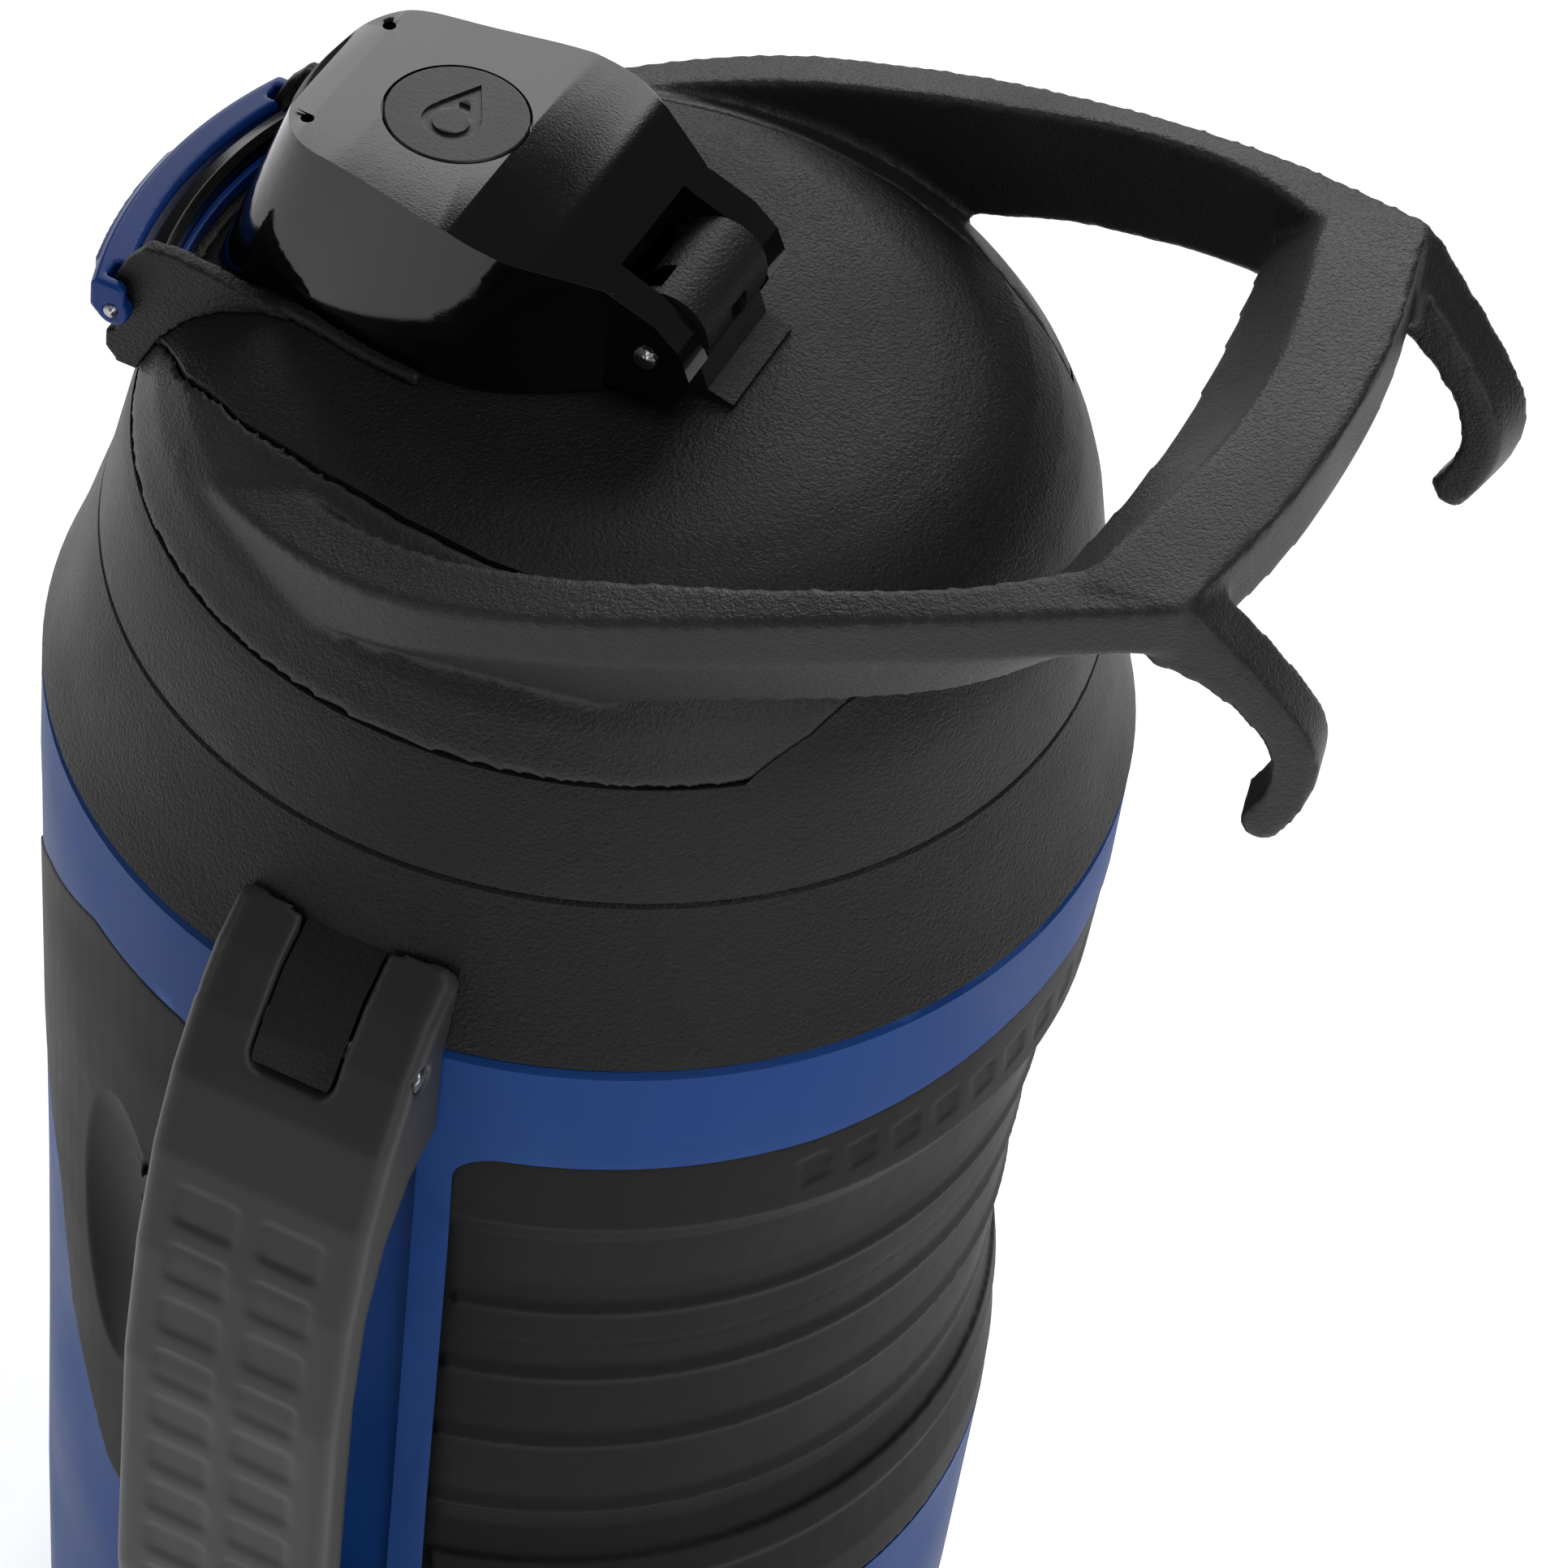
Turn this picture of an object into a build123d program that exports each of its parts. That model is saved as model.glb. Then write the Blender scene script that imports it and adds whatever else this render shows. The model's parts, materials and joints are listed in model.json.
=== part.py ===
from build123d import *
import math
import os

os.makedirs("parts", exist_ok=True)

# Large insulated water jug.  Millimetres, +Z up, origin on the table under the jug's axis.
# +X points to the fence hooks, -X to the latch, and the side handle is on -Y.

# ---- driving dimensions ----
RING = 228.0  # top edge of the outer shell above the table
FIT = 0.3  # running gap between parts that move on each other
SHELL_R = 76.0  # outer shell at its top edge
SHELL_WALL = 2.4
LINER_R, LINER_WALL = 60.0, 2.0
LINER_FLOOR = 14.0
BORE_R = 57.5  # mouth of the jug inside the collar

GRIP_THICK = 2.2
RIB_PITCH, RIB_TOP = 15.9, RING - 56.2
RIB_COUNT = 5

HANDLE_HALF = 16.2  # side handle half width
HANDLE_MID = RING - 78.0
TONGUE_HALF = 5.8
SLOT_FLOOR = -2.9  # lower end of the fork's slot, from the shell's top edge
SLOT_HALF = 6.2
HANDLE_PIN_Y, HANDLE_PIN_Z, HANDLE_PIN_R = -81.0, 1.5, 1.8
PIN_SLIP = 0.05  # bores are this much larger in radius than their pins

HINGE_X, HINGE_Z = 8.4, RING + 72.2
HINGE_PIN_R = 1.6
EAR_IN, EAR_OUT = 9.1, 14.6
SPOUT_X = -27.5
SPOUT_R, SPOUT_BORE = 9.4, 7.2
BAIL_X, BAIL_Z = -63.8, RING + 53.4
BAIL_PIN_R = 0.9


def keep(builder, label):
    """Labels a finished sub-part and writes its STEP file."""
    builder.part.label = label
    export_step(builder.part, f"parts/{label}.step")


def ring_profile(points):
    """Closed polygon of (radius, height above the shell's top edge), ready to revolve."""
    return Polyline(*[(r, RING + z) for r, z in points], close=True)


def turned(points, cut=None):
    """Solid of revolution from a closed (radius, height) outline."""
    with BuildPart() as body:
        with BuildSketch(Plane.XZ):
            with BuildLine():
                ring_profile(points)
            make_face()
        revolve(axis=Axis.Z)
        if cut is not None:
            add(cut, mode=Mode.SUBTRACT)
    return body.part


def radial_plane(azimuth):
    """Upright plane through the axis facing outward at an azimuth, local x sideways, local y up."""
    a = math.radians(azimuth)
    outward = Vector(math.cos(a), math.sin(a), 0)
    return Plane(origin=(0, 0, RING), x_dir=Vector(-math.sin(a), math.cos(a), 0), z_dir=outward)


def pad_prism(azimuth, outline, radius, near=28.0, far=95.0):
    """Rounded outline on the radial plane, pushed out through the shell wall."""
    with BuildPart() as prism:
        with BuildSketch(radial_plane(azimuth).offset(near)) as face:
            with BuildLine():
                Polyline(*outline, close=True)
            make_face()
            fillet(face.vertices(), radius)
        extrude(amount=far - near)
    return prism.part


# ---- shell family ----
SHELL_OUT = [
    (66.0, 4.0 - RING), (70.4, 7.0 - RING), (72.4, 14.0 - RING), (73.1, 46.0 - RING),
    (73.4, -142.0), (74.0, -100.0), (75.5, -36.0), (SHELL_R, -16.0), (SHELL_R, -0.8), (75.2, 0.0),
]
SHELL_IN = [(r - SHELL_WALL, z) for r, z in SHELL_OUT[2:-1]]

# Grip surface, from the flush upper band over the ledge into the hand waist.
GRIP_FACE = [
    (75.9, -10.0), (75.7, -19.0), (75.2, -33.0), (72.6, -38.0), (71.2, -50.0), (70.0, -70.0),
    (69.4, -108.0), (71.6, -119.0), (73.2, -131.0), (73.5, -145.0),
]
# The thumb side keeps the shell's own line; its hollow is dished in afterwards.
THUMB_FACE = [(76.1, -10.0), (75.8, -36.0), (74.2, -100.0), (73.6, -145.0)]

# Outlines of the two grips on their radial planes (sideways, height from the shell's top edge).
# The finger side needs two overlapping planes, as it reaches a third of the way round.
FINGER_AZ, FINGER_REAR_AZ, THUMB_AZ = -30.0, 16.0, -127.0
FINGER_OUTLINE = [
    (-54.6, -19.3), (-12.0, -18.6), (22.0, -15.5), (40.0, -15.5), (40.0, -139.5), (-52.0, -139.5),
    (-54.0, -40.0),
]
FINGER_REAR = [(-34.0, -15.5), (36.0, -16.5), (40.0, -85.0), (35.0, -139.5), (-34.0, -139.5)]
THUMB_OUTLINE = [
    (28.5, -18.6), (4.0, -18.0), (-16.0, -27.0), (-29.0, -36.0), (-29.0, -66.0), (-12.0, -92.0),
    (-6.0, -114.0), (8.0, -138.0), (27.5, -139.0),
]


def grown(outline, by):
    """Outline pushed away from its own centre by a fixed distance."""
    cx = sum(p[0] for p in outline) / len(outline)
    cy = sum(p[1] for p in outline) / len(outline)
    moved = []
    for x, y in outline:
        d = math.hypot(x - cx, y - cy)
        moved.append((x + by * (x - cx) / d, y + by * (y - cy) / d))
    return moved


def band(face, inward, outward=30.0):
    """Revolved layer lying outside a surface that has been pulled inward."""
    inner = [(r - inward, z) for r, z in face]
    outer = [(90.0 + outward, face[-1][1]), (90.0 + outward, face[0][1])]
    return turned(inner + outer)


def skin(face, inward, depth):
    """Revolved layer of constant depth under a surface."""
    return turned([(r - inward, z) for r, z in face] + [(r - inward - depth, z) for r, z in face[::-1]])


def finger_prism(by):
    """Both faces of the finger-side outline, grown by a distance."""
    return pad_prism(FINGER_AZ, grown(FINGER_OUTLINE, by), 5.0) + \
        pad_prism(FINGER_REAR_AZ, grown(FINGER_REAR, by), 5.0)


finger_zone = finger_prism(0.0)
thumb_zone = pad_prism(THUMB_AZ, THUMB_OUTLINE, 5.0)
finger_back = finger_prism(2.6)
thumb_back = pad_prism(THUMB_AZ, grown(THUMB_OUTLINE, 2.6), 5.0)

CHANNEL_HALF, CHANNEL_Y = 13.6, -71.2
with BuildPart() as channel:
    with BuildSketch(Plane.XZ.offset(-CHANNEL_Y)) as mouth:
        with Locations((0, HANDLE_MID)):
            RectangleRounded(2 * CHANNEL_HALF, 138.0, 10.0)
    extrude(amount=12.0)
with BuildPart() as channel_back:
    with BuildSketch(Plane.XZ.offset(-CHANNEL_Y - 2.2)) as mouth:
        with Locations((0, HANDLE_MID)):
            RectangleRounded(2 * CHANNEL_HALF + 4, 142.0, 10.0)
    extrude(amount=3.0)

shell_solid = turned(SHELL_OUT + [(0.0, 0.0), (0.0, 4.0 - RING)])
shell_hollow = turned([(62.0, 3.0 - RING), (62.0, 12.0 - RING)] + SHELL_IN + [
    (SHELL_R - SHELL_WALL, 1.0), (0.0, 1.0), (0.0, 3.0 - RING)])


def thumb_ellipsoid(reach, less=0.0):
    """Long ellipsoid that dishes the thumb grip, centred at a distance from the jug's axis."""
    ball = scale(Sphere(1.0), by=(11.5 - less, 15.5 - less, 42.0 - less))
    turn = Pos(0, 0, RING - 76.0) * Rot(0, 0, THUMB_AZ + 8.0)
    return turn * Pos(reach, 0, 0) * Rot(0, 3.0, 0) * ball


thumb_dish = thumb_ellipsoid(83.0)
dish_skin = thumb_dish - thumb_ellipsoid(83.0, 0.6)
thumb_dish_back = thumb_ellipsoid(80.8)

with BuildPart() as outer_shell:
    add(shell_solid)
    add(shell_hollow, mode=Mode.SUBTRACT)
    add((shell_solid - turned([(r - GRIP_THICK - 2.2, z) for r, z in GRIP_FACE] + [
        (0.0, GRIP_FACE[-1][1]), (0.0, GRIP_FACE[0][1])])) & finger_back)
    add(skin(THUMB_FACE, 0.4, 7.2) & thumb_back)
    add(channel_back.part & shell_solid)
    add(band(GRIP_FACE, GRIP_THICK) & finger_zone, mode=Mode.SUBTRACT)
    add(band(THUMB_FACE, GRIP_THICK) & thumb_zone, mode=Mode.SUBTRACT)
    add(thumb_dish_back & thumb_zone, mode=Mode.SUBTRACT)
    add(channel.part, mode=Mode.SUBTRACT)
keep(outer_shell, "outer_shell")

rib_levels = [RIB_TOP - i * RIB_PITCH for i in range(RIB_COUNT)]


def face_radius(face, height):
    """Radius of a surface at a height measured from the shell's top edge."""
    for (r0, z0), (r1, z1) in zip(face, face[1:]):
        if z1 <= height <= z0:
            return r0 + (r1 - r0) * (height - z0) / (z1 - z0)
    return face[-1][0]


RIB_HEIGHT, RIB_HALF = 0.6, 1.2
finger_ribs = finger_prism(-4.0)
MARK_COUNT, MARK_AZ, MARK_STEP = 9, -38.0, 5.6  # plain slanted marks sunk in the band above the ribs
with BuildPart() as grip_finger_side:
    add(skin(GRIP_FACE, 0.0, GRIP_THICK) & finger_zone)
    for level in rib_levels:
        z = level - RING
        r = face_radius(GRIP_FACE, z)
        ridge = turned([(r - 0.4, z + 5.6), (r + RIB_HEIGHT - 0.15, z + 0.7), (r + RIB_HEIGHT, z),
                        (r + RIB_HEIGHT - 0.2, z - 0.5), (r - 0.4, z - RIB_HALF)])
        add(ridge & finger_ribs)
        z = z + 8.0
        r = face_radius(GRIP_FACE, z)
        groove = turned([(r - 0.3, z), (r + 1.0, z + 1.3), (r + 1.0, z - 0.3)])
        add(groove & finger_ribs, mode=Mode.SUBTRACT)
    for i in range(MARK_COUNT):
        azimuth = MARK_AZ + MARK_STEP * i
        mark = Pos(75.6, 0, RING - 25.6) * Rot(14, 0, 0) * Box(0.9, 4.6, 6.0, mode=Mode.PRIVATE)
        add(Rot(0, 0, azimuth) * mark, mode=Mode.SUBTRACT)
keep(grip_finger_side, "grip_finger_side")

TICK_COUNT, TICK_PITCH = 4, 12.0
with BuildPart() as thumb_skin:
    add(skin(THUMB_FACE, 0.0, 5.6) & thumb_zone)
    add(outer_shell.part, mode=Mode.SUBTRACT)
    add(thumb_dish, mode=Mode.SUBTRACT)
    for i in range(TICK_COUNT):
        spot = Pos(0, 0, RING - 46.0 - TICK_PITCH * i) * Rot(0, 0, THUMB_AZ + 13.5 - i) * Pos(72.0, 0, 0)
        tick = spot * Rot(30, 0, 0) * Box(12.0, 5.6, 1.5, mode=Mode.PRIVATE)
        add(tick & dish_skin & thumb_zone)
    add(outer_shell.part, mode=Mode.SUBTRACT)
with BuildPart() as grip_thumb_side:
    add(max(thumb_skin.part.solids(), key=lambda s: s.volume))
keep(grip_thumb_side, "grip_thumb_side")

with BuildPart() as inner_liner:
    add(turned([
        (0.0, LINER_FLOOR - RING), (52.0, LINER_FLOOR - RING), (LINER_R, LINER_FLOOR + 8 - RING),
        (LINER_R, -12.4), (63.2, -12.4), (63.2, -10.4), (LINER_R - LINER_WALL, -10.4),
        (LINER_R - LINER_WALL, LINER_FLOOR + 9 - RING), (51.2, LINER_FLOOR + 2 - RING),
        (0.0, LINER_FLOOR + 2 - RING),
    ]))
keep(inner_liner, "inner_liner")

with BuildPart() as foam_fill:
    add(turned([(0.0, 8.2 - RING), (61.6, 8.2 - RING), (61.6, 12.5 - RING), (69.6, 14.5 - RING),
                (70.5, 40.0 - RING), (70.9, -142.0), (71.4, -100.0), (72.9, -36.0), (73.2, -14.0),
                (73.2, -13.0), (0.0, -13.0)]))
    add(turned([(0.0, LINER_FLOOR - RING), (52.0, LINER_FLOOR - RING), (LINER_R, LINER_FLOOR + 8 - RING),
                (LINER_R, -12.4), (0.0, -12.4)]), mode=Mode.SUBTRACT)
    add(band(GRIP_FACE, GRIP_THICK + 2.6) & finger_prism(3.2), mode=Mode.SUBTRACT)
    add(band(THUMB_FACE, 8.0) & pad_prism(THUMB_AZ, grown(THUMB_OUTLINE, 3.2), 5.0), mode=Mode.SUBTRACT)
    with Locations((0, CHANNEL_Y - 2.0, HANDLE_MID)):
        Box(2 * CHANNEL_HALF + 4.6, 9.2, 142.6, mode=Mode.SUBTRACT)
with BuildPart() as foam_insulation:
    add(max(foam_fill.part.solids(), key=lambda s: s.volume))
keep(foam_insulation, "foam_insulation")

with BuildPart() as base_disc:
    add(turned([(0.0, -RING), (53.7, -RING), (53.7, 2.5 - RING), (61.8, 2.5 - RING), (61.8, 8.0 - RING),
                (0.0, 8.0 - RING)]))
keep(base_disc, "base_disc")

with BuildPart() as foot_ring:
    add(turned([(54.0, -RING), (66.4, -RING), (67.4, 1.0 - RING), (67.4, 3.8 - RING), (62.1, 3.8 - RING),
                (62.1, 2.2 - RING), (54.0, 2.2 - RING)]))
keep(foot_ring, "foot_ring")


# ---- side handle ----
def handle_side(points):
    """Closed outline on the YZ plane from (outward distance, height) points."""
    return Polyline(*[(-y, RING + z) for y, z in points], close=True)


UPPER_OUT = [(68.0, 13.6), (73.0, 12.8), (79.0, 8.8), (84.5, 2.8), (90.0, -6.0), (94.5, -17.0),
             (98.2, -33.0), (100.6, -54.0)]
UPPER_IN = [(92.0, -54.0), (90.2, -37.0), (86.0, -25.5), (80.5, -18.5), (68.0, -13.0)]
MID = HANDLE_MID - RING
LOWER_OUT = [(y, 2 * MID - z) for y, z in reversed(UPPER_OUT)]
LOWER_IN = [(y, 2 * MID - z) for y, z in reversed(UPPER_IN)]
body_keepout = turned([(0.0, 30.0), (69.3, 26.0), (71.6, 16.0), (73.9, 8.0), (76.4, 0.0), (76.4, -16.0),
                       (75.9, -36.0), (74.4, -100.0), (73.8, -142.0), (73.5, -180.0), (0.0, -180.0)])


def fork_prism(half, floor, upper):
    """Upright prism with rounded corners that starts at the floor of the fork."""
    level = RING + (floor + 13.5 if upper else 2 * MID - floor - 13.5)
    with BuildPart() as prism:
        with BuildSketch(Plane.XZ.offset(60.0)):
            with Locations((0, level)):
                RectangleRounded(2 * half, 27.0, 2.4)
        extrude(amount=40.0)
    return prism.part


def mount_tongue(flip):
    """Tongue that fills the fork of the side handle; flip mirrors it to the lower end."""
    def z(v):
        return 2 * MID - v if flip else v
    with BuildPart() as tongue:
        with BuildSketch(Plane.YZ):
            with BuildLine():
                handle_side([(66.0, z(14.5)), (70.5, z(13.2)), (78.6, z(8.4)), (84.0, z(2.6)),
                             (86.8, z(-1.4)), (86.0, z(SLOT_FLOOR + 0.4)), (84.0, z(SLOT_FLOOR + 0.2)),
                             (66.0, z(SLOT_FLOOR + 0.2))])
            make_face()
        extrude(amount=TONGUE_HALF, both=True)
        add(fork_prism(TONGUE_HALF, SLOT_FLOOR + 0.3, not flip), mode=Mode.INTERSECT)
        with BuildSketch(Plane.YZ):
            with Locations((HANDLE_PIN_Y, RING + z(HANDLE_PIN_Z))):
                Circle(HANDLE_PIN_R + PIN_SLIP)
        extrude(amount=30.0, both=True, mode=Mode.SUBTRACT)
    return tongue.part


# Plain shallow pockets in two columns down the handle's outer face.
POCKET_DEEP, POCKET_ROWS, POCKET_PITCH = 0.45, 12, 9.8
outer_line = UPPER_OUT[4:] + LOWER_OUT[:-4]
with BuildPart() as relief:
    with BuildSketch(Plane.YZ):
        with BuildLine():
            pocket_floor = [(y - POCKET_DEEP, z) for y, z in outer_line[::-1]]
            handle_side([(y + 6.0, z) for y, z in outer_line] + pocket_floor)
        make_face()
    extrude(amount=HANDLE_HALF, both=True)
handle_relief = relief.part
with BuildPart() as pockets:
    for row in range(POCKET_ROWS):
        level = HANDLE_MID + POCKET_PITCH * (row - (POCKET_ROWS - 1) / 2)
        with BuildSketch(Plane.XZ.offset(88.0)):
            with Locations((-6.3, level), (6.3, level)):
                RectangleRounded(9.6, 6.6, 1.4)
        extrude(amount=20.0)
handle_pockets = pockets.part

with BuildPart() as side_handle:
    with BuildSketch(Plane.YZ) as side:
        with BuildLine():
            handle_side(UPPER_OUT + LOWER_OUT + LOWER_IN + UPPER_IN)
        make_face()
    extrude(amount=HANDLE_HALF, both=True)
    outer_edges = side_handle.edges().filter_by(GeomType.LINE).filter_by(
        lambda e: abs(abs(e.center().X) - HANDLE_HALF) < 0.01 and abs(e.tangent_at(0.5).X) < 0.01)
    fillet(outer_edges, 2.4)
    add(body_keepout, mode=Mode.SUBTRACT)
    for upper in (True, False):
        add(fork_prism(SLOT_HALF, SLOT_FLOOR, upper), mode=Mode.SUBTRACT)
        pin_z = RING + (HANDLE_PIN_Z if upper else 2 * MID - HANDLE_PIN_Z)
        with BuildSketch(Plane.YZ):
            with Locations((HANDLE_PIN_Y, pin_z)):
                Circle(HANDLE_PIN_R + PIN_SLIP)
        extrude(amount=30.0, both=True, mode=Mode.SUBTRACT)
    add(handle_relief & handle_pockets, mode=Mode.SUBTRACT)
keep(side_handle, "side_handle")

HANDLE_PINS = [("handle_pin_upper", RING + HANDLE_PIN_Z),
               ("handle_pin_lower", RING + 2 * MID - HANDLE_PIN_Z)]
for label, pin_z in HANDLE_PINS:
    with BuildPart() as pin:
        with BuildSketch(Plane.YZ):
            with Locations((HANDLE_PIN_Y, pin_z)):
                Circle(HANDLE_PIN_R)
        extrude(amount=HANDLE_HALF - 0.3, both=True)
    keep(pin, label)

with BuildPart() as collar:
    add(turned([(75.2, 0.3), (SHELL_R, 1.1), (73.6, 8.0), (71.3, 16.0), (68.8, 24.5), (68.2, 25.0),
                (BORE_R, 25.0), (BORE_R, -10.0), (63.2, -10.0), (63.2, -6.0), (73.0, -6.0), (73.0, 0.3)]))
    add(mount_tongue(False) - turned([(0.0, 30.0), (65.0, 30.0), (65.0, -40.0), (0.0, -40.0)]))
    add(outer_shell.part, mode=Mode.SUBTRACT)
keep(collar, "collar")

with BuildPart() as lower_mount:
    add(mount_tongue(True))
    add(turned([(0.0, 0.0), (72.2, 0.0), (72.2, -200.0), (0.0, -200.0)]), mode=Mode.SUBTRACT)
    add(outer_shell.part, mode=Mode.SUBTRACT)
keep(lower_mount, "lower_mount")

# ---- lid ----
DOME = [(68.6, 25.4), (67.1, 33.0), (65.7, 40.0), (64.4, 44.0), (61.6, 50.0), (58.2, 54.8), (54.0, 58.4),
        (48.5, 61.2), (40.0, 63.0), (20.0, 63.9), (0.0, 64.2)]
CORE = [(65.4, 25.0), (64.1, 33.0), (62.7, 40.0), (61.4, 43.6), (58.7, 48.4), (55.8, 52.2), (52.0, 55.4),
        (47.2, 58.2), (39.4, 60.0), (20.0, 60.9), (0.0, 61.2)]
dome_solid = turned(DOME + [(0.0, 25.4)])
core_solid = turned(CORE + [(0.0, 25.0)])

# Arms of the fence-hook handle at stations along X:
# x, outer y, inner y, top z, outer lower z, inner lower z (z from the shell's top edge)
ARM = [
    (-44.0, 42.2, 37.0, 51.7, 46.0, 44.0), (-35.0, 48.4, 41.6, 54.3, 47.0, 45.0),
    (-28.0, 53.0, 45.6, 56.8, 48.5, 46.0), (-20.0, 57.2, 48.8, 59.0, 50.0, 46.5),
    (-12.0, 60.4, 51.4, 61.2, 52.0, 47.0), (0.0, 62.8, 54.1, 64.6, 56.4, 48.0),
    (11.0, 62.8, 54.5, 68.0, 60.6, 49.5), (21.6, 61.9, 53.9, 71.6, 64.4, 52.0),
    (31.5, 60.2, 52.8, 75.0, 67.8, 56.0), (41.0, 58.1, 51.6, 78.3, 71.0, 60.4),
    (50.5, 55.7, 49.7, 81.5, 74.2, 63.8), (60.0, 53.0, 47.1, 84.4, 77.3, 67.4),
    (69.0, 50.2, 43.2, 87.1, 79.9, 71.0), (78.0, 46.8, 37.5, 89.6, 82.4, 76.4),
    (86.0, 43.7, 34.4, 91.6, 84.4, 81.0), (91.4, 41.5, 33.4, 93.0, 85.6, 84.0),
]
ARM_TILT = 1.1  # the top face rises this much from its outer to its inner edge
# Cross bar at stations along Y:
# y, inner x, outer x, inner top z, inner lower x, inner lower z, outer lower z
BAR = [(41.0, 79.0, 91.6, 90.4, 72.0, 80.0, 85.0), (34.0, 79.6, 93.0, 91.0, 72.4, 80.0, 84.2),
       (22.0, 82.2, 95.3, 91.7, 73.8, 80.0, 83.6), (0.0, 84.8, 96.8, 92.3, 75.2, 80.0, 83.4)]
BAR_SLOPE, BAR_X0, BAR_Z0 = 0.25, 78.0, 89.6  # outer top edge rises with x as the arms do


def arm(side):
    """One arm lofted through its stations, side +1 or -1."""
    with BuildPart() as beam:
        for x, yo, yi, top, low_out, low_in in ARM:
            with BuildSketch(Plane.YZ.offset(x)):
                with BuildLine():
                    inner_top = top + ARM_TILT * min(1.0, (ARM[-1][0] - x) / 36.0)
                    Polyline((side * yo, RING + top), (side * yo, RING + low_out),
                             (side * (yi + 1.4), RING + low_in), (side * yi, RING + low_in + 1.4),
                             (side * yi, RING + inner_top), close=True)
                make_face()
        loft()
    return beam.part


with BuildPart() as bar:
    stations = [(-y, *rest) for y, *rest in BAR[:-1]] + [(y, *rest) for y, *rest in reversed(BAR)]
    for y, xi, xo, zi, xl, zl, zo in stations:
        with BuildSketch(Plane.XZ.offset(-y)):
            with BuildLine():
                Polyline((xi, RING + zi), (xo, RING + BAR_Z0 + BAR_SLOPE * (xo - BAR_X0)),
                         (xo + 0.6, RING + zo), (xl + 3.0, RING + zl - 1.0), (xl, RING + zl + 1.0),
                         close=True)
            make_face()
    loft()

HOOK_OUTER = [(88.0, 92.0), (92.4, 92.0), (96.4, 88.8), (101.6, 84.2), (107.0, 78.8), (110.4, 73.6),
              (110.9, 69.2), (109.6, 63.4), (108.0, 59.6)]
HOOK_TIP = [(108.0, 59.6), (105.8, 57.8), (103.4, 58.9), (103.2, 61.8)]
HOOK_INNER = [(103.2, 61.8), (105.0, 66.0), (105.2, 70.2), (103.0, 74.8), (98.8, 78.6), (93.6, 81.2),
              (88.0, 82.4)]
HOOK_THICK, HOOK_Y, HOOK_TURN = 8.0, 37.4, 11.0


def fence_hook(side):
    """One hook: a plate bent out and back under the bar's corner, turned slightly inward."""
    with BuildPart() as plate:
        with BuildSketch(Plane.XZ) as face:
            with BuildLine():
                for curve in (HOOK_OUTER, HOOK_TIP, HOOK_INNER):
                    Spline(*[(x - 90.0, RING + z) for x, z in curve])
                Line((HOOK_INNER[-1][0] - 90.0, RING + HOOK_INNER[-1][1]),
                     (HOOK_OUTER[0][0] - 90.0, RING + HOOK_OUTER[0][1]))
            make_face()
        extrude(amount=HOOK_THICK / 2, both=True)
    return Pos(90.0, side * HOOK_Y, 0) * Rot(0, 0, -side * HOOK_TURN) * plate.part


# Root pads: inlaid skins of the lid's shoulder that carry the two arms.
ROOT = [(-70.0, 15.0), (-61.6, 18.2), (-48.5, 31.6), (-36.0, 39.2), (-21.7, 43.9), (-8.7, 46.5), (3.8, 47.6),
        (17.0, 46.6), (30.0, 42.6), (42.0, 37.6), (50.9, 34.0), (47.6, 41.0), (43.0, 48.3), (40.6, 51.8),
        (38.0, 80.0), (-75.0, 80.0)]
PAD_FOOT, PAD_SEAM = 42.5, 0.22


def root_pads(shrink):
    """Both pads, with their edges pulled in by the width of the seam."""
    pair = None
    for side in (1, -1):
        with BuildPart() as pad:
            with BuildSketch(Plane.XY.offset(RING + PAD_FOOT + shrink)):
                with BuildLine():
                    Polyline(*[(x - shrink * (x > 35.0), side * (y + shrink)) for x, y in ROOT], close=True)
                make_face()
            extrude(amount=30.0)
            add(dome_solid, mode=Mode.INTERSECT)
        pair = pad.part if pair is None else pair + pad.part
    return pair


pad_seats = root_pads(0.0)

with BuildPart() as hook_handle:
    add(bar.part)
    for side in (1, -1):
        add(arm(side))
        add(fence_hook(side))
    add(root_pads(PAD_SEAM))
    add(core_solid, mode=Mode.SUBTRACT)
keep(hook_handle, "hook_handle")

# ---- hinge, bracket and latch on the lid ----
def bar_along_y(x, z, radius, y0, y1):
    """Round bar lying along Y between two stations."""
    with BuildPart() as rod:
        with BuildSketch(Plane.XZ.offset(-y1)):
            with Locations((x, z)):
                Circle(radius)
        extrude(amount=y1 - y0)
    return rod.part


def side_plate(points, y0, y1, radius=0.0):
    """Outline given in the XZ plane (z from the shell's top edge), extruded between two Y stations."""
    with BuildPart() as plate:
        with BuildSketch(Plane.XZ.offset(-y1)) as face:
            with BuildLine():
                Polyline(*[(x, RING + z) for x, z in points], close=True)
            make_face()
            if radius:
                fillet(face.vertices(), radius)
        extrude(amount=y1 - y0)
    return plate.part


def both_sides(points, near, far, radius=0.0):
    """The same plate on the +Y and -Y sides."""
    return side_plate(points, near, far, radius) + side_plate(points, -far, -near, radius)


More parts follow.
